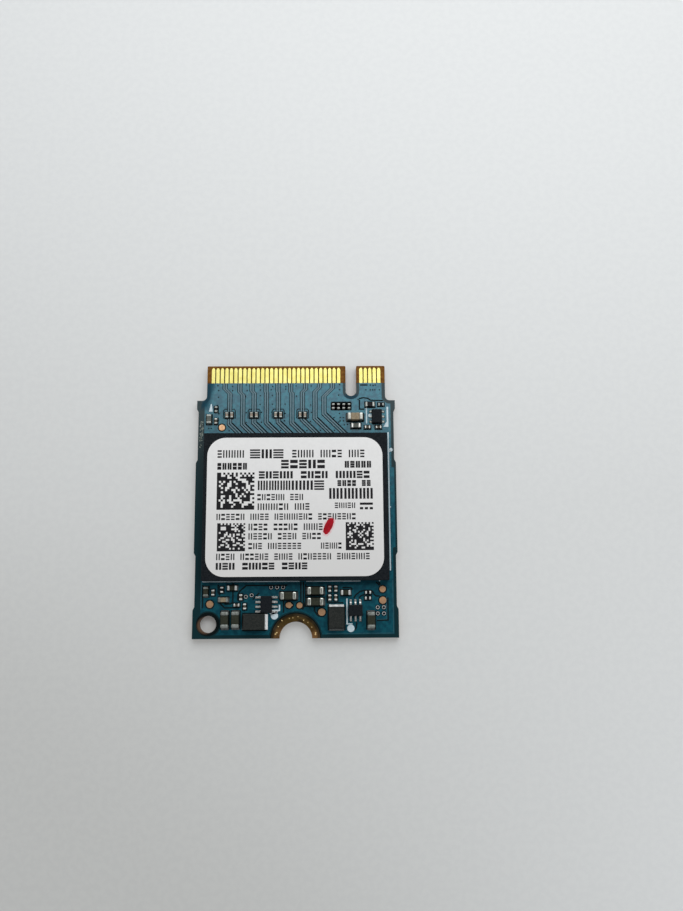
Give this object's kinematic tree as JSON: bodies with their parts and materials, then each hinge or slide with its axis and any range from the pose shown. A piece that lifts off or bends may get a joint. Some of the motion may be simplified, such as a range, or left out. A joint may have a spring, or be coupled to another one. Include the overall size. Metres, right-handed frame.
{
  "type": "m.2 solid-state drive card",
  "caption": "Small solid-state drive card: gold-fingered edge connector with a key slot, labelled memory package, chip power parts and a half-round screw notch.",
  "frame": {"origin": "centre of the card's underside", "axes": "+Y along the card towards the edge connector, +Z out of the component side, +X to the right with the connector away from the viewer"},
  "size_m": [0.022, 0.03, 0.0021],
  "materials": {
    "laminate": "bare brown glass-fibre laminate",
    "solder_mask": "semi-gloss blue-green solder mask over copper traces",
    "contact_gold": "bright gold plating",
    "notch_plating": "dulled gold plating on copper",
    "bare_copper": "bare copper, satin",
    "via_metal": "tinned rings",
    "mould_compound": "black mould compound, fine matt grain",
    "package_substrate": "dark package substrate",
    "solder": "bright solder",
    "label_stock": "white coated label with plain printed bars and code squares",
    "inductor_core": "dark grey moulded iron powder",
    "tinned_metal": "satin tin plating",
    "resistor_film": "black resistor glaze",
    "capacitor_ceramic": "dark grey-brown ceramic",
    "tan_ceramic": "tan ceramic"
  },
  "bodies": {
    "root": {"bulk_capacitor_1_body": "tan_ceramic", "bulk_capacitor_1_ends": "tinned_metal", "bulk_capacitor_2_body": "capacitor_ceramic", "bulk_capacitor_2_ends": "tinned_metal", "bulk_capacitor_3_body": "capacitor_ceramic", "bulk_capacitor_3_ends": "tinned_metal", "bulk_capacitor_4_body": "capacitor_ceramic", "bulk_capacitor_4_ends": "tinned_metal", "bulk_capacitor_5_body": "capacitor_ceramic", "bulk_capacitor_5_ends": "tinned_metal", "bulk_capacitor_6_body": "capacitor_ceramic", "bulk_capacitor_6_ends": "tinned_metal", "bulk_capacitor_7_body": "capacitor_ceramic", "bulk_capacitor_7_ends": "tinned_metal", "contact_fingers_bottom": "contact_gold", "contact_fingers_top": "contact_gold", "coupling_capacitor_bodies": "capacitor_ceramic", "coupling_capacitor_ends": "tinned_metal", "filter_capacitor_1_body": "capacitor_ceramic", "filter_capacitor_1_ends": "tinned_metal", "filter_capacitor_2_body": "capacitor_ceramic", "filter_capacitor_2_ends": "tinned_metal", "filter_capacitor_3_body": "capacitor_ceramic", "filter_capacitor_3_ends": "tinned_metal", "filter_capacitor_4_body": "capacitor_ceramic", "filter_capacitor_4_ends": "tinned_metal", "filter_capacitor_5_body": "tan_ceramic", "filter_capacitor_5_ends": "tinned_metal", "filter_capacitor_6_body": "capacitor_ceramic", "filter_capacitor_6_ends": "tinned_metal", "input_inductor_core": "inductor_core", "input_inductor_terminals": "tinned_metal", "label": "label_stock", "laminate": "laminate", "notch_plating": "notch_plating", "output_inductor_core": "inductor_core", "output_inductor_terminals": "tinned_metal", "package_balls": "solder", "package_mould": "mould_compound", "package_substrate": "package_substrate", "power_switch_body": "mould_compound", "power_switch_leads": "tinned_metal", "regulator_body": "mould_compound", "regulator_leads": "tinned_metal", "small_capacitor_bodies": "capacitor_ceramic", "small_capacitor_ends": "tinned_metal", "small_resistor_bodies": "resistor_film", "small_resistor_ends": "tinned_metal", "solder_fillets": "solder", "solder_mask_bottom": "solder_mask", "solder_mask_top": "solder_mask", "strap_resistor_body": "resistor_film", "strap_resistor_ends": "tinned_metal", "supply_monitor_body": "mould_compound", "supply_monitor_leads": "tinned_metal", "test_points": "bare_copper", "via_rings": "via_metal"}
  },
  "joints": []
}
